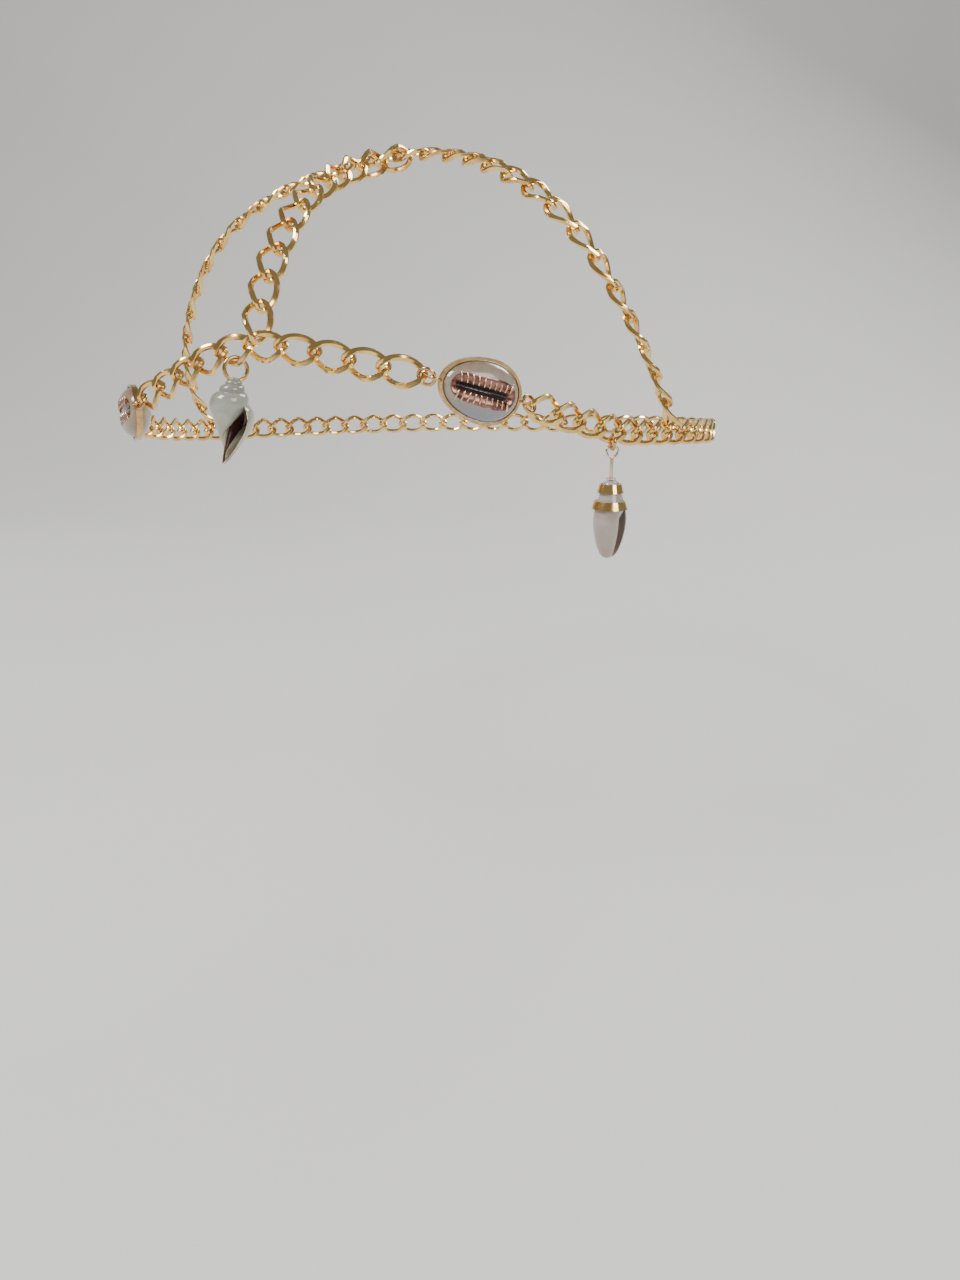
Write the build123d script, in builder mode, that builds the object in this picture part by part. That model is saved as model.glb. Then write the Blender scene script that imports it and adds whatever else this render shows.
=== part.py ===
"""Hair chain: a curb chain circlet, with strands over the crown, cowrie links and hanging shells.

Millimetres. +Z is up, -Y is the wearer's front and +X is the wearer's left. The origin is the
middle of the head opening, at the height of the front junction.
"""
import os
from math import cos, pi, radians, sin

from build123d import *

# Curb chain link: an oval of wire, twisted end to end and ground flat on both faces
WIRE = 1.4
LINK_LENGTH = 11.45
LINK_WIDTH = 7.0
LINK_TWIST = 90
GROUND_THICKNESS = 2.7
WIRE_STATIONS = 12
WIRE_SIDES = 6
HALF_LENGTH = (LINK_LENGTH - WIRE) / 2
HALF_WIDTH = (LINK_WIDTH - WIRE) / 2
PLAY = 0.25

# Circlet: how many links run between its cowries, in front of each and round the back
FRONT_LINKS = 5
BACK_LINKS = 51
COWRIE_SPAN = 35.0

# Course of the circlet, from its back: turn from the front to the wearer's left, reach from the
# middle of the head, height
CIRCLET = [
    # turn, reach, height
    (-180, 90.5, -26.0),
    (-150, 86.5, -26.5),
    (-120, 80.0, -26.5),
    (-90, 78.5, -25.5),
    (-60, 82.5, -22.5),
    (-45, 87.5, -19.5),
    (-30, 92.0, -14.5),
    (-15, 91.0, -6.5),
    (0, 90.5, 0.5),
    (15, 91.5, -2.0),
    (30, 95.0, -6.5),
    (45, 85.0, -13.0),
    (60, 77.5, -17.5),
    (75, 74.0, -19.0),
    (90, 75.0, -20.0),
    (120, 81.0, -22.5),
    (150, 87.0, -24.5),
]

# Strands: the middles of their first links, then their courses over the head. The side strand
# runs from its hook on the wearer's left over the crown link to its hook on the right
HEAD_MIDDLE = (0, 0, -20)
CROWN = (0, -19.4, 49.8)
FRONT_STRAND = [
    # across, depth, height
    (1.6, -89.4, 5.9),
    (-1.0, -80.0, 18.5),
    (-3.0, -67.0, 30.8),
    (-5.2, -49.5, 40.0),
    (-5.6, -36.5, 44.6),
    (-2.3, -24.2, 48.2),
]
SIDE_STRAND = [
    # across, depth, height
    (72.9, -15.4, -14.8),
    (69.4, -24.3, -1.8),
    (63.3, -30.2, 11.8),
    (54.8, -33.7, 25.0),
    (43.1, -33.7, 35.8),
    (29.6, -28.9, 43.1),
    (15.6, -22.4, 47.7),
    CROWN,
    (-15.6, -22.4, 47.7),
    (-29.5, -28.6, 43.0),
    (-42.9, -33.3, 35.7),
    (-55.3, -34.5, 25.7),
    (-65.1, -33.1, 13.2),
    (-72.5, -29.3, -0.5),
    (-77.1, -16.9, -20.3),
]
FRONT_STRAND_LINKS = 11
LEFT_STRAND_LINKS = 14
RIGHT_STRAND_LINKS = 15
# A strand's hooked end link is rolled about its run, and the roll dies out link by link
ROLL_FALL = 6
ROLL_RISE = 15
FRONT_HOOK_ROLL = 56
CROWN_HOOK_ROLL = 107
LEFT_HOOK_ROLL = 47
RIGHT_HOOK_ROLL = 48

# Cowries: the shell is held in a gold rim with an eye at each end, on one ring at each end
COWRIE_LENGTH = 17.0
COWRIE_WIDTH = 12.2
COWRIE_THICKNESS = 8.0
COWRIE_BROAD_PLACE = 1.4
COWRIE_SLIT_LENGTH = 11.0
COWRIE_SLIT_WIDTH = 1.7
COWRIE_SLIT_DEPTH = 2.4
RIM_WALL = 0.6
RIM_HEIGHT = 1.5
SEAT_GAP = 0.1
EYE_REACH = 10.1
EYE_RADIUS = 1.15
EYE_WIRE = 0.7
COWRIE_RING_RADIUS = 1.8
COWRIE_RING_WIRE = 0.8
COWRIE_RING_TILT = 28

# Whelk: its ring hangs on the first circlet link of the wearer's right
WHELK_RING_RADIUS = 2.5
WHELK_RING_WIRE = 0.9
WHELK_LENGTH = 20.5
WHELK_TIP_OVER_WIRE = 1.4
# The whelk leans on its ring: its lower end swings to the wearer's right, seen from this direction
WHELK_LEAN = 12
WHELK_LEAN_FACING = 28
WHELK_PROFILE = [
    # drop from the tip, radius
    (0.4, 1.0),
    (1.8, 1.7),
    (3.4, 2.9),
    (4.6, 3.3),
    (6.4, 4.9),
    (8.6, 5.7),
    (10.8, 5.6),
    (14.0, 4.4),
    (17.5, 2.5),
    (20.1, 1.1),
]
WHELK_MOUTH_LENGTH = 10.0
WHELK_MOUTH_WIDTH = 3.0
WHELK_MOUTH_DROP = 11.5
WHELK_MOUTH_DEPTH = 2.5
MOUTH_CLEAR = 0.5

# Cone: its ring hangs on the fourth link behind the wearer's left cowrie
CONE_LINK = 3
CONE_RING_RADIUS = 1.7
CONE_RING_WIRE = 0.8
CONE_EYE_RADIUS = 1.4
CONE_EYE_WIRE = 0.6
CONE_STEM_LENGTH = 4.8
CONE_STEM_RADIUS = 0.45
CONE_CAP_RADIUS = 1.2
CONE_CAP_HEIGHT = 0.4
CONE_LENGTH = 19.0
CONE_PROFILE = [
    # drop from the top, radius
    (0.0, 1.9),
    (1.0, 2.2),
    (3.0, 2.75),
    (5.0, 3.3),
    (7.0, 3.9),
    (9.0, 4.2),
    (12.0, 3.85),
    (15.0, 3.1),
    (17.5, 2.1),
    (19.0, 1.5),
]
CONE_BANDS = [
    # name, top, bottom, radius at the top, radius at the bottom
    ("upper", 0.9, 3.0, 2.35, 2.9),
    ("lower", 5.0, 6.9, 3.45, 4.05),
]
BAND_WALL = 0.3
CONE_MOUTH_LENGTH = 10.0
CONE_MOUTH_WIDTH = 1.6
CONE_MOUTH_DROP = 13.0
CONE_MOUTH_DEPTH = 1.2

# Compass directions that the pendants' rings and mouths face, from the front to the wearer's left
WHELK_RING_FACING = 51
WHELK_MOUTH_FACING = 60
CONE_RING_FACING = 126
CONE_MOUTH_FACING = 75


def compass(turn):
    """The level direction at this turn from the wearer's front towards the left."""
    return Vector(sin(radians(turn)), -cos(radians(turn)), 0)


def link_middle_line(turn):
    """A point of one link's middle line, and the twist there."""
    twist = -radians(LINK_TWIST / 2) * cos(turn)
    across = HALF_WIDTH * sin(turn)
    return Vector(HALF_LENGTH * cos(turn), across * cos(twist), across * sin(twist)), twist


def wire_ring(turn):
    """The corners of the wire's section at this turn of the oval, ground flat."""
    middle, twist = link_middle_line(turn)
    step = pi / 300
    along = (link_middle_line(turn + step)[0] - link_middle_line(turn - step)[0]).normalized()
    reach = HALF_LENGTH * sin(turn)
    outward = Vector(HALF_WIDTH * cos(turn), reach * cos(twist), reach * sin(twist))
    outward = (outward - along * outward.dot(along)).normalized()
    upward = along.cross(outward)
    corners = []
    for side in range(WIRE_SIDES):
        angle = 2 * pi * (side + 0.5) / WIRE_SIDES
        corner = middle + outward * (WIRE / 2 * cos(angle)) + upward * (WIRE / 2 * sin(angle))
        ground = max(-GROUND_THICKNESS / 2, min(GROUND_THICKNESS / 2, corner.Z))
        corners.append(Vector(corner.X, corner.Y, ground))
    return corners


def make_link():
    """One curb link, its length along X and its ground faces up and down."""
    rings = [wire_ring(2 * pi * station / WIRE_STATIONS) for station in range(WIRE_STATIONS)]
    faces = []
    for here, there in zip(rings, rings[1:] + rings[:1]):
        for side in range(WIRE_SIDES):
            after = (side + 1) % WIRE_SIDES
            for corners in (
                (here[side], there[side], there[after]),
                (here[side], there[after], here[after]),
            ):
                faces.append(Face(Wire.make_polygon(corners, close=True)))
    return Solid(Shell(faces))


def smooth_course(points, closed=False):
    """A smooth course through these points, as one edge."""
    with BuildLine() as line:
        Spline(*points, periodic=closed)
    return line.edge()


def seat(origin, along, outward, roll=0):
    """A link's own plane: X along its run, Z away from the head and rolled about X."""
    facing = along.cross(outward.cross(along)).normalized()
    return Plane(origin, x_dir=along, z_dir=facing.rotate(Axis((0, 0, 0), along), roll))


def circlet_seat(distance):
    """The plane of the circlet's link at this distance from its front, towards the left."""
    share = (front_share + distance / circlet.length) % 1
    point = circlet.position_at(share)
    return seat(point, circlet.tangent_at(share), Vector(point.X, point.Y, 0))


def strand_seats(course, shares, first_roll, last_roll=0):
    """The planes of a strand's links, at these shares of its course from its hook."""
    seats = []
    onward = 1 if shares[-1] >= shares[0] else -1
    for number, share in enumerate(shares):
        rising = last_roll - ROLL_RISE * (len(shares) - 1 - number)
        roll = max(0, first_roll - ROLL_FALL * number, rising)
        point = course.position_at(share)
        outward = point - Vector(*HEAD_MIDDLE)
        seats.append(seat(point, course.tangent_at(share) * onward, outward, roll))
    return seats


def spread(first, last, gaps):
    """Even shares of a course from the first towards the last, one for each gap."""
    return [first + (last - first) * number / gaps for number in range(gaps)]


def lowest_point(plane):
    """The lowest point of the middle line of the link on this plane."""
    turns = [2 * pi * number / 720 for number in range(720)]
    points = [plane.from_local_coords(link_middle_line(turn)[0]) for turn in turns]
    return min(points, key=lambda point: point.Z)


def export(piece, name):
    """Label a finished piece and write its STEP file."""
    piece.part.label = name
    export_step(piece.part, f"parts/{name}.step")


def make_run(name, seats):
    """Write one run of interlocking links."""
    with BuildPart() as run:
        add([link.moved(plane.location) for plane in seats])
    export(run, name)


def make_ring(name, plane, radius, wire):
    """Write one jump ring, a closed ring of round wire."""
    with BuildPart() as ring:
        with Locations(plane):
            Torus(radius, wire / 2)
    export(ring, name)


def cowrie_outline(margin=0):
    """The cowrie's outline from the front: an egg, its broad part behind the middle."""
    half = COWRIE_LENGTH / 2 + margin
    width = COWRIE_WIDTH / 2 + margin
    with BuildLine() as line:
        middle = (COWRIE_BROAD_PLACE, 0)
        EllipticalCenterArc(middle, half - COWRIE_BROAD_PLACE, width, start_angle=-90, arc_size=180)
        EllipticalCenterArc(middle, half + COWRIE_BROAD_PLACE, width, start_angle=90, arc_size=180)
    return line.line


def make_cowrie(side, middle, front_ring, back_ring):
    """Write a cowrie's shell, its gold rim and the ring at each of its ends."""
    with BuildPart() as shell:
        with BuildSketch():
            make_face(cowrie_outline())
            split(bisect_by=Plane.XZ)
        revolve(axis=Axis.X)
        scale(by=(1, 1, COWRIE_THICKNESS / COWRIE_WIDTH))
        with BuildSketch(Plane.XY.offset(COWRIE_THICKNESS / 2)):
            SlotOverall(COWRIE_SLIT_LENGTH, COWRIE_SLIT_WIDTH)
        extrude(amount=-COWRIE_SLIT_DEPTH, mode=Mode.SUBTRACT)
    with BuildPart() as rim:
        with BuildSketch(Plane.XY.offset(-RIM_HEIGHT / 2)):
            make_face(cowrie_outline(SEAT_GAP + RIM_WALL))
        extrude(amount=RIM_HEIGHT)
        for end in (-1, 1):
            with Locations(Plane((end * EYE_REACH, 0, 0), z_dir=(0, 1, 0))):
                Torus(EYE_RADIUS, EYE_WIRE / 2)
        with BuildSketch(Plane.XY.offset(-RIM_HEIGHT / 2)):
            make_face(cowrie_outline(SEAT_GAP))
        extrude(amount=RIM_HEIGHT, mode=Mode.SUBTRACT)
    for piece, name in ((shell, "shell"), (rim, "rim")):
        with BuildPart() as placed:
            add(piece.part.moved(middle.location))
        export(placed, f"{side}_cowrie_{name}")
    make_ring(f"{side}_cowrie_front_ring", front_ring, COWRIE_RING_RADIUS, COWRIE_RING_WIRE)
    make_ring(f"{side}_cowrie_back_ring", back_ring, COWRIE_RING_RADIUS, COWRIE_RING_WIRE)


def ring_on_link_end(plane, end):
    """The plane of the cowrie's ring through the end of this link, its X towards the cowrie."""
    hold = WIRE / 2 + COWRIE_RING_WIRE / 2 + PLAY
    middle = Vector(end * (HALF_LENGTH + COWRIE_RING_RADIUS - hold), 0, 0)
    tilt = radians(COWRIE_RING_TILT)
    facing = Vector(0, -end * sin(tilt), cos(tilt))
    origin = plane.from_local_coords(middle)
    tip = plane.from_local_coords(middle + facing)
    return Plane(origin, x_dir=plane.x_dir * end, z_dir=tip - origin)


def cowrie_middle(front_ring, back_ring):
    """The plane of a cowrie, straight between the nearest points of its two rings."""
    nearest = Vector(COWRIE_RING_RADIUS, 0, 0)
    front = front_ring.from_local_coords(nearest)
    back = back_ring.from_local_coords(nearest)
    origin = (front + back) / 2
    return seat(origin, (back - front).normalized(), Vector(origin.X, origin.Y, 0))


def ring_under(link_plane, radius, wire, facing):
    """The plane of a ring that hangs on the lowest point of a link."""
    drop = radius - (WIRE / 2 + wire / 2 + PLAY)
    origin = lowest_point(link_plane) - Vector(0, 0, drop)
    return Plane(origin, x_dir=(0, 0, -1), z_dir=compass(facing))


def revolved(rows, length, top):
    """Draw a shell's half outline under its top and turn it about its own upright axis."""
    upright = Plane(top, x_dir=(1, 0, 0), z_dir=(0, -1, 0))
    drop, radius = rows[-1]
    with BuildSketch(upright) as half:
        with BuildLine():
            side = Spline(*[(radius, -drop) for drop, radius in rows])
            Polyline(side @ 0, (0, (side @ 0).Y), (0, -length), (radius, -length))
            if length > drop:
                Line((radius, -length), side @ 1)
        make_face()
    revolve(half.sketch, axis=Axis(top, (0, 0, 1)))


def make_whelk(ring):
    """Write the whelk and its ring."""
    make_ring("whelk_ring", ring, WHELK_RING_RADIUS, WHELK_RING_WIRE)
    top = ring.origin - Vector(0, 0, WHELK_RING_RADIUS - WHELK_TIP_OVER_WIRE)
    mouth = Plane(top - Vector(0, 0, WHELK_MOUTH_DROP), z_dir=compass(WHELK_MOUTH_FACING))
    with BuildPart() as upright:
        revolved(WHELK_PROFILE, WHELK_LENGTH, top)
        with BuildSketch(mouth.offset(WHELK_PROFILE[5][1] + MOUTH_CLEAR)):
            SlotOverall(WHELK_MOUTH_LENGTH, WHELK_MOUTH_WIDTH, rotation=90)
        extrude(amount=-(WHELK_MOUTH_DEPTH + MOUTH_CLEAR), mode=Mode.SUBTRACT)
    with BuildPart() as shell:
        add(upright.part.rotate(Axis(top, compass(WHELK_LEAN_FACING)), -WHELK_LEAN))
        with Locations(ring):
            Torus(WHELK_RING_RADIUS, WHELK_RING_WIRE / 2 + PLAY, mode=Mode.SUBTRACT)
    export(shell, "whelk_shell")


def make_cone(ring):
    """Write the cone with its ring, its eye on a stem and its two bands."""
    make_ring("cone_ring", ring, CONE_RING_RADIUS, CONE_RING_WIRE)
    hold = CONE_RING_WIRE / 2 + CONE_EYE_WIRE / 2 + PLAY
    eye_middle = ring.origin - Vector(0, 0, CONE_RING_RADIUS + CONE_EYE_RADIUS - hold)
    cap_top = eye_middle - Vector(0, 0, CONE_EYE_RADIUS + CONE_STEM_LENGTH)
    top = cap_top - Vector(0, 0, CONE_CAP_HEIGHT + SEAT_GAP)
    with BuildPart() as eye:
        with Locations(Plane(eye_middle, z_dir=compass(CONE_RING_FACING - 90))):
            Torus(CONE_EYE_RADIUS, CONE_EYE_WIRE / 2)
        with Locations(Plane(cap_top)):
            Cylinder(CONE_STEM_RADIUS, CONE_STEM_LENGTH, align=(Align.CENTER, Align.CENTER, Align.MIN))
            Cylinder(CONE_CAP_RADIUS, CONE_CAP_HEIGHT, align=(Align.CENTER, Align.CENTER, Align.MAX))
    export(eye, "cone_eye")
    mouth = Plane(top - Vector(0, 0, CONE_MOUTH_DROP), z_dir=compass(CONE_MOUTH_FACING))
    with BuildPart() as shell:
        revolved(CONE_PROFILE, CONE_LENGTH, top)
        with BuildSketch(mouth.offset(CONE_PROFILE[5][1] + MOUTH_CLEAR)):
            SlotOverall(CONE_MOUTH_LENGTH, CONE_MOUTH_WIDTH, rotation=90)
        extrude(amount=-(CONE_MOUTH_DEPTH + MOUTH_CLEAR), mode=Mode.SUBTRACT)
    for name, band_top, band_bottom, upper, lower in CONE_BANDS:
        make_band(f"cone_band_{name}", top, band_top, band_bottom, upper, lower)
    export(shell, "cone_shell")


def make_band(name, top, band_top, band_bottom, upper, lower):
    """Write one gold band round the cone."""
    upright = Plane(top, x_dir=(1, 0, 0), z_dir=(0, -1, 0))
    with BuildPart() as band:
        with BuildSketch(upright):
            with BuildLine():
                Polyline(
                    (upper, -band_top),
                    (upper + BAND_WALL, -band_top),
                    (lower + BAND_WALL, -band_bottom),
                    (lower, -band_bottom),
                    close=True,
                )
            make_face()
        revolve(axis=Axis(top, (0, 0, 1)))
    export(band, name)


os.makedirs("parts", exist_ok=True)
link = make_link()
circlet = smooth_course(
    [compass(turn) * reach + Vector(0, 0, height) for turn, reach, height in CIRCLET],
    closed=True,
)
front_reach, front_height = next(row[1:] for row in CIRCLET if row[0] == 0)
front_share = circlet.param_at_point(compass(0) * front_reach + Vector(0, 0, front_height))
pitch = (circlet.length - 2 * COWRIE_SPAN) / (2 * (FRONT_LINKS - 0.5) + BACK_LINKS - 1)

# Circlet, from its front middle: distances round the course to each link's middle
front_left = [circlet_seat(pitch * (number + 0.5)) for number in range(FRONT_LINKS)]
front_right = [circlet_seat(-pitch * (number + 0.5)) for number in range(FRONT_LINKS)]
back_start = pitch * (FRONT_LINKS - 0.5) + COWRIE_SPAN
back = [circlet_seat(back_start + pitch * number) for number in range(BACK_LINKS)]
half_back = (BACK_LINKS + 1) // 2
make_run("circlet_front_left", front_left)
make_run("circlet_front_right", front_right)
make_run("circlet_back_left", back[:half_back])
make_run("circlet_back_right", back[half_back:])

# Strands: the front strand's last link hooks the crown link, and a side strand stops one short
front_course = smooth_course(FRONT_STRAND)
side_course = smooth_course(SIDE_STRAND)
crown_share = side_course.param_at_point(CROWN)
front_shares = spread(0, 1, FRONT_STRAND_LINKS - 1) + [1]
left_shares = spread(0, crown_share, LEFT_STRAND_LINKS)
right_shares = spread(1, crown_share, RIGHT_STRAND_LINKS)
make_run(
    "front_strand",
    strand_seats(front_course, front_shares, FRONT_HOOK_ROLL, CROWN_HOOK_ROLL),
)
make_run("side_strand_left", strand_seats(side_course, left_shares, LEFT_HOOK_ROLL))
make_run("side_strand_right", strand_seats(side_course, right_shares, RIGHT_HOOK_ROLL))
make_run("crown_link", strand_seats(side_course, [crown_share], 0))

# Cowries, between the front runs and the back runs
left_rings = (ring_on_link_end(front_left[-1], 1), ring_on_link_end(back[0], -1))
right_rings = (ring_on_link_end(front_right[-1], -1), ring_on_link_end(back[-1], 1))
make_cowrie("left", cowrie_middle(*left_rings), *left_rings)
make_cowrie("right", cowrie_middle(*right_rings), *right_rings)

# Pendants
make_whelk(ring_under(front_right[0], WHELK_RING_RADIUS, WHELK_RING_WIRE, WHELK_RING_FACING))
make_cone(ring_under(back[CONE_LINK], CONE_RING_RADIUS, CONE_RING_WIRE, CONE_RING_FACING))
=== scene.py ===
"""Looks of the hair chain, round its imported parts: curb links, rims, rings and shells."""
from math import cos, pi, radians, sin

import bpy
import numpy as np
from bpy.props import FloatProperty, FloatVectorProperty, PointerProperty
from mathutils import Matrix, Vector


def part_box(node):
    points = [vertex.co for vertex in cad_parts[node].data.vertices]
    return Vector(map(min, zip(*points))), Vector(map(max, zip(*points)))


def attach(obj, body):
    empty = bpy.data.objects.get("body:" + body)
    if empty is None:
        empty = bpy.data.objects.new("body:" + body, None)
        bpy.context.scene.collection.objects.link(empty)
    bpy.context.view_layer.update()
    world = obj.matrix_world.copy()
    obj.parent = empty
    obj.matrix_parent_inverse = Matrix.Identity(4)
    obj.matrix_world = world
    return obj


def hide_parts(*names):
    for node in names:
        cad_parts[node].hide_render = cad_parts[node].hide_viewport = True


bl_info = {
    "name": "Hair chain",
    "version": (1, 0, 0),
    "blender": (4, 5, 0),
    "location": "View3D > Sidebar > Hair chain",
    "description": "Builds the looks of a chain headpiece with shell links and pendants",
    "category": "Object",
}

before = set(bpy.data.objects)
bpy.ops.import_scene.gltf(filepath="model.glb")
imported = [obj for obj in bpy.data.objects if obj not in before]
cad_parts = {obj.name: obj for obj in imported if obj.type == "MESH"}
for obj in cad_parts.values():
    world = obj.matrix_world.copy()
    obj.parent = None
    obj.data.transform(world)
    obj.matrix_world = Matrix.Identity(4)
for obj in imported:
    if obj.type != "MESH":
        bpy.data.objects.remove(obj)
bpy.ops.object.select_all(action="DESELECT")
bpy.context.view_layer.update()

MM = 0.001
CHAIN_RUNS = (
    "circlet_front_left",
    "circlet_front_right",
    "circlet_back_left",
    "circlet_back_right",
    "front_strand",
    "side_strand_left",
    "side_strand_right",
    "crown_link",
)
RINGS = (
    "left_cowrie_front_ring",
    "left_cowrie_back_ring",
    "right_cowrie_front_ring",
    "right_cowrie_back_ring",
    "whelk_ring",
    "cone_ring",
)
BANDS = ("cone_band_upper", "cone_band_lower")

SIDES = ("left", "right")

# Chain link: steps along its wire and round it, and the edges that stay sharp
LINK_STEPS = 9
WIRE_BEVEL = 2
SHARP_ANGLE = radians(32)
MERGE_DISTANCE = 0.01 * MM

# Metals: tarnished colour, patches to a metre, roughness where polished
METALS = {
    "Chain gold": ((0.72, 0.40, 0.12), 180, 0.1),
    "Ring gold": ((0.45, 0.27, 0.12), 420, 0.16),
    "Lip gold": ((0.55, 0.30, 0.18), 600, 0.14),
    "Rose gold": ((0.75, 0.45, 0.33), 500, 0.12),
    "Tooth gold": ((0.62, 0.38, 0.28), 700, 0.2),
    # The cowrie's lips: their own rose-brown, darkened as painted shade of the recess round the
    # slit and between the teeth
    "Lip rose": ((0.12, 0.05, 0.045), 600, 0.25),
}
LIP_GOLD = (0.85, 0.58, 0.36)
TOOTH_GOLD = (0.90, 0.66, 0.45)
# The cowrie's lips, polished: their own rose-brown, darkened as painted shade of the recess between
# the teeth
LIP_ROSE_AND_SHADE = (0.34, 0.17, 0.13)

# Shell colours: main, upper and lower; the upper and lower ones are painted light and shade, set by
# height
# Cowries: their own tan, painted darker at the top and the bottom as shade, the left one cooler
# underneath
COWRIE_COLORS_AND_PAINTED_SHADE = (
    ((0.36, 0.31, 0.25), (0.22, 0.15, 0.09), (0.22, 0.25, 0.29)),
    ((0.40, 0.30, 0.19), (0.24, 0.14, 0.07), (0.26, 0.18, 0.10)),
)
# The cowrie's slit: near-black painted shade of the opening into the shell
SLIT_PAINTED_SHADE = ((0.02, 0.012, 0.01), (0.05, 0.03, 0.025), (0.03, 0.02, 0.02))
# Whelk: its own green-grey, painted a darker grey at the top and a warmer, lighter tone underneath
# as painted light and shade
WHELK_COLOR_AND_PAINTED_LIGHT = ((0.42, 0.45, 0.36), (0.26, 0.27, 0.24), (0.48, 0.44, 0.28))
# The whelk's hollow: its own dark wine, darkened as painted shade of the deep mouth
WHELK_MOUTH_AND_SHADE = ((0.05, 0.014, 0.014), (0.10, 0.05, 0.03), (0.06, 0.010, 0.012))
# Cone: its own pale brown, painted lighter at the top and a little darker underneath as painted
# light and shade
CONE_COLOR_AND_PAINTED_LIGHT = ((0.42, 0.36, 0.32), (0.46, 0.44, 0.40), (0.42, 0.34, 0.28))
# The cone's hollow: its own purple-brown, darkened as painted shade of the deep mouth
CONE_MOUTH_AND_SHADE = ((0.07, 0.03, 0.035), (0.10, 0.05, 0.05), (0.12, 0.05, 0.04))

# Cowrie: its egg, its slit and the toothed lips beside it
COWRIE_SEGMENTS = 128
COWRIE_RINGS = 72
COWRIE_BROAD_PLACE = 1.4 * MM
COWRIE_TEETH = 10
TOOTH_SIZE = (0.24 * MM, 1.15 * MM, 0.3 * MM)
TOOTH_REACH = 1.85 * MM
TOOTH_TILT = radians(-8)
TOOTH_FAN = radians(-14)
TOOTH_FACE_HEIGHT = 3.35 * MM
TOOTH_FACE_HALF_LENGTH = 9.5 * MM
SLIT_HALF_LENGTH = 5.4 * MM
SLIT_HALF_WIDTH = 0.75 * MM
SLIT_LINE_HALF_WIDTH = 0.2 * MM
SLIT_DEPTH = 2.2 * MM
TOOTH_ROW_HALF_LENGTH = 1.05 * SLIT_HALF_LENGTH
LIP_HALF_LENGTH = 7.2 * MM
LIP_HALF_WIDTH = 3.0 * MM
LIP_REACH = 3.2 * MM

# Stage: the floor's curve up into the backdrop, then the camera and the lights
FLOOR_HEIGHT = -0.13
SWEEP_WIDTH = 6
SWEEP_LENGTH = 4
SWEEP_STEPS = 60
SWEEP_START = 0.5
SWEEP_RADIUS = 0.8
CAMERA_PLACE = (0.13866, -0.26357, 0)
CAMERA_PAN = radians(25.647)
CAMERA_DIP = radians(16.68)
CAMERA_ROLL = radians(0.454)
CAMERA_SENSOR = 36
CAMERA_LENS = 27.03
SURROUND_STRENGTH = 0.3
LIGHTS = (
    # name, place, size, power
    ("key_light", (-0.5, -0.7, 0.9), 0.5, 16),
    ("fill_light", (0.9, -0.5, 0.5), 0.6, 7),
    ("back_light", (0.3, 0.8, 0.8), 0.5, 9),
)

# Coiled shells: steps to a turn, the rise left after each turn, the mouth inside its lip, and
# the hollow that runs in from the mouth
COIL_STEPS = 24
COIL_TURN = 2 * pi / COIL_STEPS
WHELK_RISE = 0.57
CONE_RISE = 1.0
LIP_INSIDE = 0.88
HOLLOW_TURNS = 0.3
HOLLOW_NARROWING = 0.97
WHELK_LEAN_FACING = radians(28)
WHELK_TIP_DROP = 1.1 * MM

# Sections of the whelk and the cone at the mouth: drop below the tip, inner and outer reach in mm
WHELK_SECTION = (
    # drop, inner, outer
    (6.0, 2.6, 3.6),
    (6.7, 1.4, 4.9),
    (8.2, 0.7, 5.8),
    (9.8, 0.5, 6.1),
    (11.4, 0.4, 5.9),
    (13.2, 0.3, 5.1),
    (15.2, 0.3, 4.0),
    (17.2, 0.3, 2.9),
    (19.1, 0.4, 1.9),
    (20.1, 0.6, 1.2),
)
CONE_SECTION = (
    # drop, inner, outer
    (0.1, 0.3, 1.6),
    (0.8, 0.3, 2.1),
    (3.0, 0.3, 2.8),
    (5.0, 0.3, 3.4),
    (7.0, 0.3, 4.1),
    (9.0, 0.3, 4.5),
    (12.0, 0.3, 4.3),
    (15.0, 0.3, 3.6),
    (17.5, 0.3, 2.6),
    (18.9, 0.5, 1.5),
)
# Coils back from the mouth: turns, and how much of the reach is left after a turn
WHELK_COIL = ((4.2, 0.66),)
CONE_COIL = ((0.25, 0.66), (0.45, 0.97), (0.4, 0.12))
CORE_COIL = ((1.05, 1.0),)
# The cone's core fills the coil's top and stands in its mouth
CONE_CORE = (
    # drop, inner, outer
    (0.1, 0.02, 1.5),
    (0.8, 0.02, 1.9),
    (3.0, 0.02, 2.55),
    (5.0, 0.02, 3.1),
    (6.9, 0.02, 3.7),
    (7.6, 0.02, 3.2),
    (11.0, 0.02, 1.6),
    (17.0, 0.02, 0.8),
)


def select_only(piece):
    """Make this piece the one that is selected and active."""
    bpy.ops.object.select_all(action="DESELECT")
    piece.select_set(True)
    bpy.context.view_layer.objects.active = piece


def apply_modifier(piece, kind, **settings):
    """Add a modifier with these settings and apply it."""
    select_only(piece)
    modifier = piece.modifiers.new(kind.title(), kind)
    for name, value in settings.items():
        setattr(modifier, name, value)
    bpy.ops.object.modifier_apply(modifier=modifier.name)


def pick(piece, wanted, domain="vertices"):
    """Select the vertices or faces of a piece that are wanted."""
    for part in (piece.data.vertices, piece.data.edges, piece.data.polygons):
        part.foreach_set("select", [False] * len(part))
    for item in getattr(piece.data, domain):
        item.select = wanted(item)


def gather(pieces):
    """Join these pieces into the first."""
    bpy.ops.object.select_all(action="DESELECT")
    for piece in pieces:
        piece.select_set(True)
    bpy.context.view_layer.objects.active = pieces[0]
    if len(pieces) > 1:
        bpy.ops.object.join()
    return bpy.context.object


def copy_piece(piece):
    """A copy with a mesh of its own."""
    copy = piece.copy()
    copy.data = piece.data.copy()
    bpy.context.scene.collection.objects.link(copy)
    return copy


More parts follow.
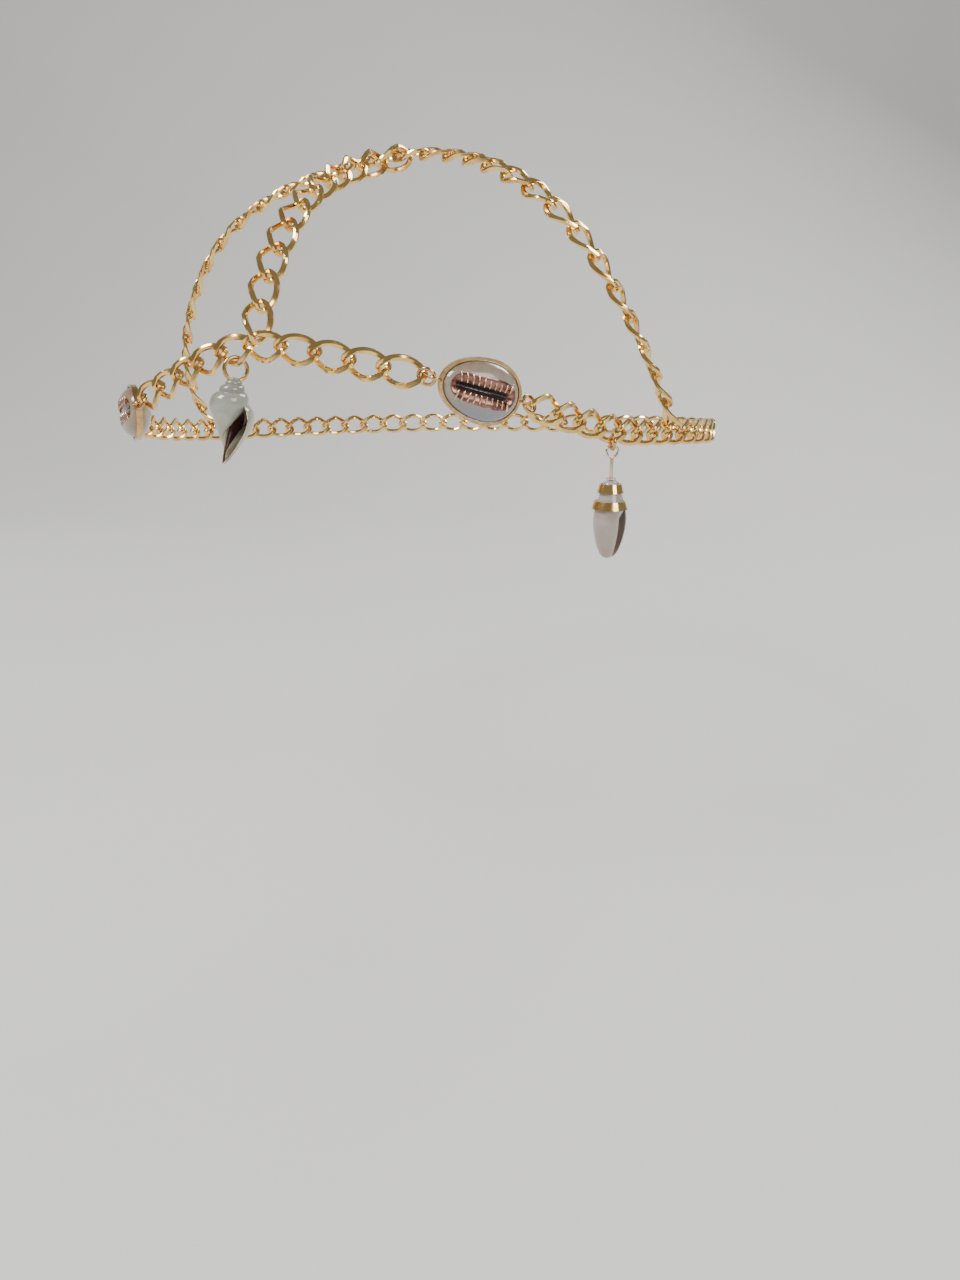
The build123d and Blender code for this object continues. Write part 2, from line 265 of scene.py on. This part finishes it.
def finish_piece(piece, name, body, slot, *nodes):
    """Name a finished piece, settle its place in its mesh and hand it to the frame."""
    select_only(piece)
    bpy.ops.object.transform_apply(location=True, rotation=True, scale=True)
    piece.name = name
    piece.data.name = name
    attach(piece, body)
    if nodes:
        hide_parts(*nodes)


# Materials


def new_nodes(name, inputs, outputs):
    """An empty node group with these inputs and outputs."""
    group = bpy.data.node_groups.new(name, "ShaderNodeTree")
    for label, kind, value in inputs:
        socket = group.interface.new_socket(label, in_out="INPUT", socket_type=kind)
        socket.default_value = value
    for label, kind in outputs:
        group.interface.new_socket(label, in_out="OUTPUT", socket_type=kind)
    source = group.nodes.new("NodeGroupInput")
    result = group.nodes.new("NodeGroupOutput")
    return group, source, result


def add_node(tree, kind, **settings):
    """Add a node and set its properties, and its inputs by name or number."""
    node = tree.nodes.new(kind)
    for name, value in settings.pop("inputs", {}).items():
        node.inputs[name].default_value = value
    for name, value in settings.items():
        setattr(node, name, value)
    return node


def noise(tree, place, scale, detail=3):
    """A noise pattern of this scale at a place."""
    node = add_node(tree, "ShaderNodeTexNoise", inputs={"Scale": scale, "Detail": detail})
    tree.links.new(place, node.inputs["Vector"])
    return node.outputs["Fac"]


def mix_colors(tree, share, first, second):
    """Mix two colours or sockets by a share."""
    node = add_node(tree, "ShaderNodeMix", data_type="RGBA")
    tree.links.new(share, node.inputs[0])
    for socket, value in ((node.inputs[6], first), (node.inputs[7], second)):
        if isinstance(value, bpy.types.NodeSocket):
            tree.links.new(value, socket)
        else:
            socket.default_value = value
    return node.outputs[2]


def ramp(tree, share, low, high, start=0.0, end=1.0):
    """Map a share from low to high onto start to end."""
    node = add_node(
        tree,
        "ShaderNodeMapRange",
        inputs={"From Min": low, "From Max": high, "To Min": start, "To Max": end},
    )
    tree.links.new(share, node.inputs["Value"])
    return node.outputs["Result"]


def make_wear():
    """Soft tarnish patches and fine scratches of polished metal."""
    group, source, result = new_nodes(
        "Polished wear",
        (
            ("Polished", "NodeSocketColor", (0.9, 0.7, 0.4, 1)),
            ("Tarnished", "NodeSocketColor", (0.6, 0.4, 0.2, 1)),
            ("Patches", "NodeSocketFloat", 250.0),
            ("Polished Roughness", "NodeSocketFloat", 0.12),
        ),
        (
            ("Color", "NodeSocketColor"),
            ("Roughness", "NodeSocketFloat"),
            ("Normal", "NodeSocketVector"),
        ),
    )
    place = add_node(group, "ShaderNodeTexCoord").outputs["Object"]
    patches = noise(group, place, 1)
    group.links.new(source.outputs["Patches"], patches.node.inputs["Scale"])
    share = ramp(group, patches, 0.42, 0.7)
    color = mix_colors(group, share, source.outputs["Polished"], source.outputs["Tarnished"])
    scratches = noise(group, place, 2600, 2)
    extra = add_node(group, "ShaderNodeMath", operation="MULTIPLY", inputs={1: 0.16})
    group.links.new(share, extra.inputs[0])
    rough = add_node(group, "ShaderNodeMath", operation="ADD")
    group.links.new(extra.outputs[0], rough.inputs[0])
    group.links.new(source.outputs["Polished Roughness"], rough.inputs[1])
    bump = add_node(group, "ShaderNodeBump", inputs={"Strength": 0.12, "Distance": 0.00008})
    group.links.new(scratches, bump.inputs["Height"])
    group.links.new(color, result.inputs["Color"])
    group.links.new(rough.outputs[0], result.inputs["Roughness"])
    group.links.new(bump.outputs["Normal"], result.inputs["Normal"])
    return group


def new_material(name, **sockets):
    """A material with a Principled shader and constant values on its sockets."""
    material = bpy.data.materials.new(name)
    material.use_nodes = True
    shader = material.node_tree.nodes["Principled BSDF"]
    for label, value in sockets.items():
        shader.inputs[label.replace("_", " ")].default_value = value
    return material, material.node_tree, shader


def make_metal(name, polished):
    """A worn polished metal of this name in the table of metals."""
    tarnished, patches, roughness = METALS[name]
    material, tree, shader = new_material(name, Metallic=1.0)
    wear = add_node(tree, "ShaderNodeGroup", node_tree=bpy.data.node_groups["Polished wear"])
    wear.inputs["Polished"].default_value = (*polished, 1)
    wear.inputs["Tarnished"].default_value = (*tarnished, 1)
    wear.inputs["Patches"].default_value = patches
    wear.inputs["Polished Roughness"].default_value = roughness
    tree.links.new(wear.outputs["Color"], shader.inputs["Base Color"])
    tree.links.new(wear.outputs["Roughness"], shader.inputs["Roughness"])
    tree.links.new(wear.outputs["Normal"], shader.inputs["Normal"])
    return material


def make_glaze_and_painted_light(name, main, upper, lower, middle=(0, 0, 0)):
    """A glossy shell: its main colour, with painted light and shade as another colour towards the
    top and one underneath, set by height.
    """
    material, tree, shader = new_material(
        name, Roughness=0.16, Coat_Weight=0.6, Coat_Roughness=0.05
    )
    place = add_node(tree, "ShaderNodeTexCoord").outputs["Object"]
    mottle = noise(tree, place, 320, 5)
    centred = add_node(tree, "ShaderNodeMapping", inputs={"Location": [-value for value in middle]})
    tree.links.new(place, centred.inputs["Vector"])
    axes = add_node(tree, "ShaderNodeSeparateXYZ")
    tree.links.new(centred.outputs["Vector"], axes.inputs["Vector"])
    swirl = add_node(tree, "ShaderNodeMath", operation="MULTIPLY_ADD", inputs={1: 0.006, 2: -0.003})
    tree.links.new(mottle, swirl.inputs[0])
    height = add_node(tree, "ShaderNodeMath", operation="ADD")
    tree.links.new(axes.outputs["Z"], height.inputs[0])
    tree.links.new(swirl.outputs[0], height.inputs[1])
    # Painted light and shade: the upper colour takes over above the middle, the lower one below it
    above = ramp(tree, height.outputs[0], 0.001, 0.007)
    below = ramp(tree, height.outputs[0], -0.0005, -0.006)
    color = mix_colors(tree, above, (*main, 1), (*upper, 1))
    color = mix_colors(tree, below, color, (*lower, 1))
    shade = ramp(tree, mottle, 0.3, 0.75)
    darker = add_node(tree, "ShaderNodeMix", data_type="RGBA", blend_type="MULTIPLY")
    tree.links.new(ramp(tree, shade, 0, 1, 0, 0.6), darker.inputs[0])
    tree.links.new(color, darker.inputs[6])
    darker.inputs[7].default_value = (0.78, 0.7, 0.64, 1)
    tree.links.new(darker.outputs[2], shader.inputs["Base Color"])
    bump = add_node(tree, "ShaderNodeBump", inputs={"Strength": 0.15, "Distance": 0.0002})
    tree.links.new(mottle, bump.inputs["Height"])
    tree.links.new(bump.outputs["Normal"], shader.inputs["Normal"])
    return material


def coat(piece, *materials):
    """Put these materials in a piece's slots, in order, and keep its faces' slot numbers."""
    slots = piece.data.materials
    for number, material in enumerate(materials):
        if number < len(slots):
            slots[number] = material
        else:
            slots.append(material)


# Chain


def model_link(settings):
    """One curb link: an oval of round wire, twisted end to end and ground flat on both faces."""
    half_length = (settings.link_length - settings.wire) / 2
    half_width = (settings.link_width - settings.wire) / 2
    bpy.ops.curve.primitive_bezier_circle_add(radius=1)
    link = bpy.context.object
    link.scale = (half_length, half_width, 1)
    bpy.ops.object.transform_apply(location=False, rotation=False, scale=True)
    for point in link.data.splines[0].bezier_points:
        point.radius = 1
    link.data.resolution_u = LINK_STEPS
    link.data.bevel_depth = settings.wire / 2
    link.data.bevel_resolution = WIRE_BEVEL
    bpy.ops.object.convert(target="MESH")
    link = bpy.context.object
    twist = -settings.link_twist * settings.link_length / (2 * half_length)
    apply_modifier(link, "SIMPLE_DEFORM", deform_method="TWIST", deform_axis="X", angle=twist)
    bpy.ops.object.mode_set(mode="EDIT")
    for side in (-1, 1):
        bpy.ops.mesh.select_all(action="SELECT")
        bpy.ops.mesh.bisect(
            plane_co=(0, 0, side * settings.ground_thickness / 2),
            plane_no=(0, 0, side),
            clear_outer=True,
            use_fill=True,
        )
    bpy.ops.mesh.select_all(action="SELECT")
    bpy.ops.mesh.remove_doubles(threshold=MERGE_DISTANCE)
    bpy.ops.object.mode_set(mode="OBJECT")
    return link


def link_places(node):
    """The place and turn of each link of a chain's node, from the link's own middle and axes."""
    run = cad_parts[node].copy()
    run.data = run.data.copy()
    bpy.context.scene.collection.objects.link(run)
    run.parent = None
    select_only(run)
    bpy.ops.object.mode_set(mode="EDIT")
    bpy.ops.mesh.select_all(action="SELECT")
    bpy.ops.mesh.remove_doubles(threshold=MERGE_DISTANCE)
    bpy.ops.mesh.separate(type="LOOSE")
    bpy.ops.object.mode_set(mode="OBJECT")
    places = []
    for link in list(bpy.context.selected_objects):
        points = np.array([vertex.co for vertex in link.data.vertices])
        middle = points.mean(axis=0)
        spread = np.linalg.eigh(np.cov((points - middle).T))[1]
        along, across = Vector(spread[:, 2]), Vector(spread[:, 1])
        turn = Matrix((along, across, along.cross(across))).transposed().to_4x4()
        places.append(Matrix.Translation(Vector(middle)) @ turn)
        bpy.data.objects.remove(link)
    return places


def model_run(node, link, material):
    """A run of links at the places of a chain's node, as one piece."""
    copies = []
    for place in link_places(node):
        copies.append(copy_piece(link))
        copies[-1].data.transform(place)
    run = gather(copies)
    coat(run, material)
    bpy.ops.object.shade_smooth_by_angle(angle=SHARP_ANGLE)
    finish_piece(run, node + "_links", "root", "chain_gold", node)


# Shells


def lay_section(piece, rows):
    """Lay a ring of points round a table's inner and outer reaches, in the XZ plane."""
    outline = [(outer, -drop) for drop, inner, outer in rows]
    outline += [(inner, -drop) for drop, inner, outer in reversed(rows)]
    for vertex, (reach, height) in zip(piece.data.vertices, outline):
        vertex.co = (reach * MM, 0, height * MM)


def coil_steps(coil, rise):
    """The sizes of a coil's steps, from its turns and the reach left after a turn."""
    steps = []
    for turns, narrowing in coil:
        reach = narrowing ** (1 / COIL_STEPS)
        steps += [(reach, reach, rise ** (1 / COIL_STEPS))] * round(turns * COIL_STEPS)
    return steps


def coil_on(steps, middle):
    """Extrude the selected loop by steps, turned about Z and resized about its middle."""
    for sizes in steps:
        bpy.ops.mesh.extrude_edges_indiv()
        bpy.ops.transform.rotate(value=-COIL_TURN, orient_axis="Z", center_override=(0, 0, 0))
        middle = Matrix.Rotation(COIL_TURN, 3, "Z") @ Vector(middle)
        bpy.ops.transform.resize(value=sizes, center_override=middle)
    bpy.ops.mesh.merge(type="CENTER")


def hollow_mouth(shell, size):
    """Extrude the loop of a shell's mouth over its lip and on into a hollow."""
    mouth = [vertex.co.copy() for vertex in shell.data.vertices[:size]]
    middle = sum(mouth, Vector()) / size
    pick(shell, lambda vertex: vertex.index < size)
    bpy.ops.object.mode_set(mode="EDIT")
    bpy.ops.mesh.select_mode(type="VERT")
    bpy.ops.mesh.extrude_edges_indiv()
    bpy.ops.transform.resize(
        value=(LIP_INSIDE, LIP_INSIDE, HOLLOW_NARROWING), center_override=middle
    )
    coil_on([(HOLLOW_NARROWING,) * 3] * round(HOLLOW_TURNS * COIL_STEPS), middle)
    bpy.ops.object.mode_set(mode="OBJECT")


def coil_shell(rows, coil, rise, hollow=True):
    """A shell coiled back from its mouth. Its faces are numbered 0 outside, 1 lip and 2 hollow."""
    size = 2 * len(rows)
    bpy.ops.mesh.primitive_circle_add(vertices=size, radius=MM)
    shell = bpy.context.object
    lay_section(shell, rows)
    bpy.ops.object.mode_set(mode="EDIT")
    bpy.ops.mesh.select_all(action="SELECT")
    coil_on(coil_steps(coil, rise), (0, 0, 0))
    bpy.ops.object.mode_set(mode="OBJECT")
    outside = len(shell.data.polygons)
    if hollow:
        hollow_mouth(shell, size)
    bpy.ops.object.mode_set(mode="EDIT")
    bpy.ops.mesh.select_all(action="SELECT")
    bpy.ops.mesh.normals_make_consistent(inside=False)
    bpy.ops.object.mode_set(mode="OBJECT")
    for face in shell.data.polygons:
        face.material_index = (face.index >= outside) + (face.index >= outside + size)
    apply_modifier(shell, "SUBSURF", levels=1, render_levels=1)
    bpy.ops.object.shade_smooth()
    return shell


def hang_shell(shell, tip, facing, lean=0.0):
    """Hang a shell by its tip: turn its mouth to this compass direction, then lean it."""
    axis = Vector((sin(WHELK_LEAN_FACING), -cos(WHELK_LEAN_FACING), 0))
    leaning = Matrix.Rotation(-lean, 4, axis)
    turn = Matrix.Rotation(facing, 4, "Z")
    shell.data.transform(Matrix.Translation(tip) @ leaning @ turn)


def cowrie_place(node):
    """The place and turn of a cowrie's node: X to its back end, Z away from the head."""
    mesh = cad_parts[node].data
    middles = np.array([face.center for face in mesh.polygons])
    areas = np.array([face.area for face in mesh.polygons])
    centre = np.average(middles, axis=0, weights=areas)
    spread = np.cov((middles - centre).T, aweights=areas)
    thick, _, along = (Vector(axis) for axis in np.linalg.eigh(spread)[1].T)
    along = along if along.y > 0 else -along
    thick = thick if thick.dot(Vector((centre[0], centre[1], 0))) > 0 else -thick
    turn = Matrix((along, thick.cross(along), thick)).transposed()
    points = np.array([vertex.co for vertex in mesh.vertices]) @ np.array(turn)
    middle = turn @ Vector((points.min(axis=0) + points.max(axis=0)) / 2)
    return Matrix.Translation(middle) @ turn.to_4x4()


def model_cowrie(settings):
    """One cowrie, its slit up: an egg with lips that roll into a toothed slit."""
    half = settings.cowrie_length / 2
    bpy.ops.mesh.primitive_uv_sphere_add(
        segments=COWRIE_SEGMENTS, ring_count=COWRIE_RINGS, radius=1, rotation=(0, pi / 2, 0)
    )
    cowrie = bpy.context.object
    bpy.ops.object.transform_apply(location=False, rotation=True, scale=False)
    for end in (1, -1):
        pick(cowrie, lambda vertex: vertex.co.x * end > 0)
        length = half - end * COWRIE_BROAD_PLACE
        bpy.ops.object.mode_set(mode="EDIT")
        bpy.ops.transform.resize(value=(length, 1, 1), center_override=(0, 0, 0))
        bpy.ops.object.mode_set(mode="OBJECT")
    cowrie.location.x = COWRIE_BROAD_PLACE
    cowrie.scale = (1, settings.cowrie_width / 2, settings.cowrie_thickness / 2)
    bpy.ops.object.transform_apply(location=True, rotation=True, scale=True)
    roll_lips(cowrie)
    teeth = [model_tooth(number, side) for side in (-1, 1) for number in range(COWRIE_TEETH)]
    select_only(cowrie)
    for face in cowrie.data.polygons:
        face.material_index = lip_zone(face.center)
    bpy.ops.object.shade_smooth()
    return cowrie, teeth


def lip_zone(point):
    """The number of a cowrie's material at a point: 0 shell colour with painted light and shade, 1
    slit in near-black painted shade, 2 lips in their own rose-brown darkened as painted shade.
    """
    if point.z < 0:
        return 0
    if abs(point.y) < SLIT_HALF_WIDTH and abs(point.x) < SLIT_HALF_LENGTH:
        return 1
    along, across = point.x / LIP_HALF_LENGTH, point.y / LIP_HALF_WIDTH
    return 2 if along**4 + across**2 < 1 else 0


def roll_lips(cowrie):
    """Sink the middle line of the cowrie's upper face into a slit with rounded lips."""
    pick(
        cowrie,
        lambda vertex: vertex.co.z > 0
        and abs(vertex.co.y) < SLIT_LINE_HALF_WIDTH
        and abs(vertex.co.x) < SLIT_HALF_LENGTH,
    )
    bpy.ops.object.mode_set(mode="EDIT")
    bpy.ops.mesh.select_mode(type="VERT")
    bpy.ops.transform.translate(
        value=(0, 0, -SLIT_DEPTH),
        use_proportional_edit=True,
        proportional_edit_falloff="SHARP",
        proportional_size=LIP_REACH,
    )
    bpy.ops.object.mode_set(mode="OBJECT")


def model_tooth(number, side):
    """One tooth of the cowrie's lip, a small rounded bar across the lip."""
    share = 2 * number / (COWRIE_TEETH - 1) - 1
    place = share * TOOTH_ROW_HALF_LENGTH
    height = TOOTH_FACE_HEIGHT * (1 - (place / TOOTH_FACE_HALF_LENGTH) ** 2) ** 0.5
    bpy.ops.mesh.primitive_uv_sphere_add(segments=12, ring_count=8, radius=1)
    tooth = bpy.context.object
    tooth.scale = TOOTH_SIZE
    tooth.rotation_euler = (side * TOOTH_TILT, 0, side * share * TOOTH_FAN)
    tooth.location = (place, side * TOOTH_REACH, height)
    bpy.ops.object.transform_apply(location=True, rotation=True, scale=True)
    bpy.ops.object.shade_smooth()
    return tooth


# Operators


class HairChainSettings(bpy.types.PropertyGroup):
    """Sizes and colours of the hair chain."""

    wire: FloatProperty(
        name="Wire",
        description="Thickness of a link's wire",
        default=1.4 * MM,
        unit="LENGTH",
    )
    link_length: FloatProperty(
        name="Link length",
        description="Length of a link",
        default=11.45 * MM,
        unit="LENGTH",
    )
    link_width: FloatProperty(
        name="Link width",
        description="Width of a link",
        default=7.0 * MM,
        unit="LENGTH",
    )
    link_twist: FloatProperty(
        name="Link twist",
        description="Twist from end to end",
        default=radians(90),
        unit="ROTATION",
    )
    ground_thickness: FloatProperty(
        name="Ground thickness",
        description="Thickness over the flats",
        default=2.7 * MM,
        unit="LENGTH",
    )
    cowrie_length: FloatProperty(
        name="Cowrie length",
        description="Length of a cowrie",
        default=17.0 * MM,
        unit="LENGTH",
    )
    cowrie_width: FloatProperty(
        name="Cowrie width",
        description="Width of a cowrie",
        default=12.2 * MM,
        unit="LENGTH",
    )
    cowrie_thickness: FloatProperty(
        name="Cowrie thickness",
        description="Thickness of a cowrie",
        default=8.0 * MM,
        unit="LENGTH",
    )
    whelk_facing: FloatProperty(
        name="Whelk facing",
        description="Way the whelk's mouth faces",
        default=radians(-8),
        unit="ROTATION",
    )
    whelk_lean: FloatProperty(
        name="Whelk lean",
        description="Lean of the whelk on its ring",
        default=radians(14),
        unit="ROTATION",
    )
    cone_facing: FloatProperty(
        name="Cone facing",
        description="Way the cone's mouth faces",
        default=radians(32),
        unit="ROTATION",
    )
    chain_color: FloatVectorProperty(
        name="Chain",
        description="Polished colour of the chain",
        default=(0.95, 0.66, 0.24),
        subtype="COLOR",
    )
    ring_color: FloatVectorProperty(
        name="Rings",
        description="Polished colour of rings and rims",
        default=(0.72, 0.45, 0.18),
        subtype="COLOR",
    )
    rose_color: FloatVectorProperty(
        name="Eye",
        description="Polished colour of the cone's eye",
        default=(0.92, 0.68, 0.54),
        subtype="COLOR",
    )


class HAIRCHAIN_OT_chain(bpy.types.Operator):
    """Model the curb links of the circlet and the strands"""

    bl_idname = "hair_chain.chain"
    bl_label = "Curb chain"

    def execute(self, context):
        settings = context.scene.hair_chain
        material = make_metal("Chain gold", settings.chain_color)
        link = model_link(settings)
        for node in CHAIN_RUNS:
            model_run(node, link, material)
        bpy.data.objects.remove(link)
        for band in BANDS:
            coat(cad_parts[band], material)
        return {"FINISHED"}


class HAIRCHAIN_OT_rings(bpy.types.Operator):
    """Finish the jump rings, the cowries' rims and the cone's eye"""

    bl_idname = "hair_chain.rings"
    bl_label = "Rings and rims"

    def execute(self, context):
        settings = context.scene.hair_chain
        material = make_metal("Ring gold", settings.ring_color)
        for node in RINGS:
            coat(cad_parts[node], material)
        for side in SIDES:
            coat(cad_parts[f"{side}_cowrie_rim"], material)
        coat(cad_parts["cone_eye"], make_metal("Rose gold", settings.rose_color))
        return {"FINISHED"}


class HAIRCHAIN_OT_cowries(bpy.types.Operator):
    """Model the two cowries"""

    bl_idname = "hair_chain.cowries"
    bl_label = "Cowries"

    def execute(self, context):
        cowrie, teeth = model_cowrie(context.scene.hair_chain)
        enamel = make_metal("Tooth gold", TOOTH_GOLD)
        # The slit: near-black painted shade of the opening into the shell
        slit = make_glaze_and_painted_light("Slit dark", *SLIT_PAINTED_SHADE)
        # The lips: their own rose-brown, darkened as painted shade of the recess between the teeth
        lips = make_metal("Lip rose", LIP_ROSE_AND_SHADE)
        for side, colors in zip(SIDES, COWRIE_COLORS_AND_PAINTED_SHADE):
            place = cowrie_place(f"{side}_cowrie_shell")
            shell = copy_piece(cowrie)
            # The cowrie's own colour, painted darker at its top and bottom as shade
            glaze_and_painted_light = make_glaze_and_painted_light(f"Cowrie glaze {side}", *colors, middle=place.translation)
            coat(shell, glaze_and_painted_light, slit, lips)
            tooth_row = [copy_piece(tooth) for tooth in teeth]
            for tooth in tooth_row:
                coat(tooth, enamel)
            piece = gather([shell, *tooth_row])
            piece.data.transform(place)
            finish_piece(piece, f"{side}_cowrie", "root", "cowrie", f"{side}_cowrie_shell")
        for piece in (cowrie, *teeth):
            bpy.data.objects.remove(piece)
        return {"FINISHED"}


class HAIRCHAIN_OT_whelk(bpy.types.Operator):
    """Model the whelk pendant's shell"""

    bl_idname = "hair_chain.whelk"
    bl_label = "Whelk"

    def execute(self, context):
        shell = coil_shell(WHELK_SECTION, WHELK_COIL, WHELK_RISE)
        settings = context.scene.hair_chain
        low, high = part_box("whelk_ring")
        tip = (low + high) / 2 - Vector((0, 0, WHELK_TIP_DROP))
        hang_shell(shell, tip, settings.whelk_facing, settings.whelk_lean)
        low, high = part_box("whelk_shell")
        middle = (low + high) / 2
        # The outside: the whelk's own green-grey, with painted light and shade by height
        outside = make_glaze_and_painted_light("Whelk glaze", *WHELK_COLOR_AND_PAINTED_LIGHT, middle=middle)
        lip = make_metal("Lip gold", LIP_GOLD)
        # The hollow: its own dark wine, darkened as painted shade of the deep mouth
        inside = make_glaze_and_painted_light("Whelk mouth", *WHELK_MOUTH_AND_SHADE, middle=middle)
        coat(shell, outside, lip, inside)
        finish_piece(shell, "whelk", "whelk", "whelk", "whelk_shell")
        return {"FINISHED"}


class HAIRCHAIN_OT_cone(bpy.types.Operator):
    """Model the cone pendant's shell"""

    bl_idname = "hair_chain.cone"
    bl_label = "Cone"

    def execute(self, context):
        coil = coil_shell(CONE_SECTION, CONE_COIL, CONE_RISE)
        core = coil_shell(CONE_CORE, CORE_COIL, CONE_RISE, hollow=False)
        shell = gather([coil, core])
        low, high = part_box("cone_shell")
        tip = Vector(((low.x + high.x) / 2, (low.y + high.y) / 2, high.z))
        hang_shell(shell, tip, context.scene.hair_chain.cone_facing)
        middle = (low + high) / 2
        # The outside: the cone's own pale brown, with painted light and shade by height
        outside = make_glaze_and_painted_light("Cone glaze", *CONE_COLOR_AND_PAINTED_LIGHT, middle=middle)
        lip = bpy.data.materials["Lip gold"]
        # The hollow: its own purple-brown, darkened as painted shade of the deep mouth
        inside = make_glaze_and_painted_light("Cone mouth", *CONE_MOUTH_AND_SHADE, middle=middle)
        coat(shell, outside, lip, inside)
        finish_piece(shell, "cone", "cone", "cone", "cone_shell")
        return {"FINISHED"}


class HAIRCHAIN_OT_stage(bpy.types.Operator):
    """Set up the floor, the lights and the camera"""

    bl_idname = "hair_chain.stage"
    bl_label = "Stage"

    def execute(self, context):
        make_sweep()
        make_lights()
        make_camera()
        return {"FINISHED"}


def make_sweep():
    """A pale floor that curves up into a backdrop, behind the piece as the camera sees it."""
    bpy.ops.mesh.primitive_grid_add(x_subdivisions=1, y_subdivisions=SWEEP_STEPS, size=1)
    sweep = bpy.context.object
    sweep.name = "floor"
    for vertex in sweep.data.vertices:
        away = vertex.co.y * SWEEP_LENGTH
        bend = max(0.0, away - SWEEP_START)
        turned = min(bend / SWEEP_RADIUS, pi / 2)
        straight = max(0.0, bend - SWEEP_RADIUS * pi / 2)
        vertex.co = (
            vertex.co.x * SWEEP_WIDTH,
            min(away, SWEEP_START) + SWEEP_RADIUS * sin(turned),
            SWEEP_RADIUS * (1 - cos(turned)) + straight,
        )
    sweep.location = (0, 0, FLOOR_HEIGHT)
    sweep.rotation_euler = (0, 0, CAMERA_PAN)
    bpy.ops.object.transform_apply(location=True, rotation=True, scale=True)
    bpy.ops.object.shade_smooth()
    material, tree, shader = new_material("Pale floor", Roughness=0.8)
    place = add_node(tree, "ShaderNodeTexCoord").outputs["Object"]
    color = mix_colors(tree, noise(tree, place, 6), (0.70, 0.69, 0.67, 1), (0.74, 0.73, 0.71, 1))
    tree.links.new(color, shader.inputs["Base Color"])
    coat(sweep, material)


def make_lights():
    """Soft boxes at the front's two sides and behind, and a dim even surround."""
    world = bpy.data.worlds.new("Surround")
    bpy.context.scene.world = world
    world.use_nodes = True
    background = world.node_tree.nodes["Background"]
    background.inputs["Color"].default_value = (0.78, 0.79, 0.8, 1)
    background.inputs["Strength"].default_value = SURROUND_STRENGTH
    for name, place, size, power in LIGHTS:
        bpy.ops.object.light_add(type="AREA", location=place)
        light = bpy.context.object
        light.name = name
        light.data.size = size
        light.data.energy = power
        light.rotation_euler = (-Vector(place)).to_track_quat("-Z", "Y").to_euler()


def make_camera():
    """The photograph's view: from the front and the wearer's left, looking down a little."""
    bpy.ops.object.camera_add(location=CAMERA_PLACE)
    camera = bpy.context.object
    camera.data.sensor_fit = "VERTICAL"
    camera.data.sensor_height = CAMERA_SENSOR
    camera.data.lens = CAMERA_LENS
    camera.data.clip_start = 0.01
    pan = Matrix.Rotation(CAMERA_PAN, 4, "Z")
    tilt = Matrix.Rotation(pi / 2 - CAMERA_DIP, 4, "X")
    roll = Matrix.Rotation(CAMERA_ROLL, 4, "Z")
    camera.rotation_euler = (pan @ tilt @ roll).to_euler()
    bpy.context.scene.camera = camera


class HAIRCHAIN_PT_panel(bpy.types.Panel):
    """The hair chain's steps"""

    bl_label = "Hair chain"
    bl_idname = "HAIRCHAIN_PT_panel"
    bl_space_type = "VIEW_3D"
    bl_region_type = "UI"
    bl_category = "Hair chain"

    def draw(self, context):
        settings = context.scene.hair_chain
        for name in settings.__annotations__:
            self.layout.prop(settings, name)
        for step in STEPS:
            self.layout.operator(step.bl_idname)


STEPS = (
    HAIRCHAIN_OT_chain,
    HAIRCHAIN_OT_rings,
    HAIRCHAIN_OT_cowries,
    HAIRCHAIN_OT_whelk,
    HAIRCHAIN_OT_cone,
    HAIRCHAIN_OT_stage,
)
CLASSES = (HairChainSettings, *STEPS, HAIRCHAIN_PT_panel)


def register():
    """Register the settings, steps and panel."""
    for item in CLASSES:
        bpy.utils.register_class(item)
    bpy.types.Scene.hair_chain = PointerProperty(type=HairChainSettings)


def unregister():
    """Remove the settings, steps and panel."""
    del bpy.types.Scene.hair_chain
    for item in reversed(CLASSES):
        bpy.utils.unregister_class(item)


def main():
    """Build every piece and the stage."""
    register()
    make_wear()
    for step in STEPS:
        group, name = step.bl_idname.split(".")
        getattr(getattr(bpy.ops, group), name)()
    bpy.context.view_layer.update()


if __name__ == "__main__":
    main()
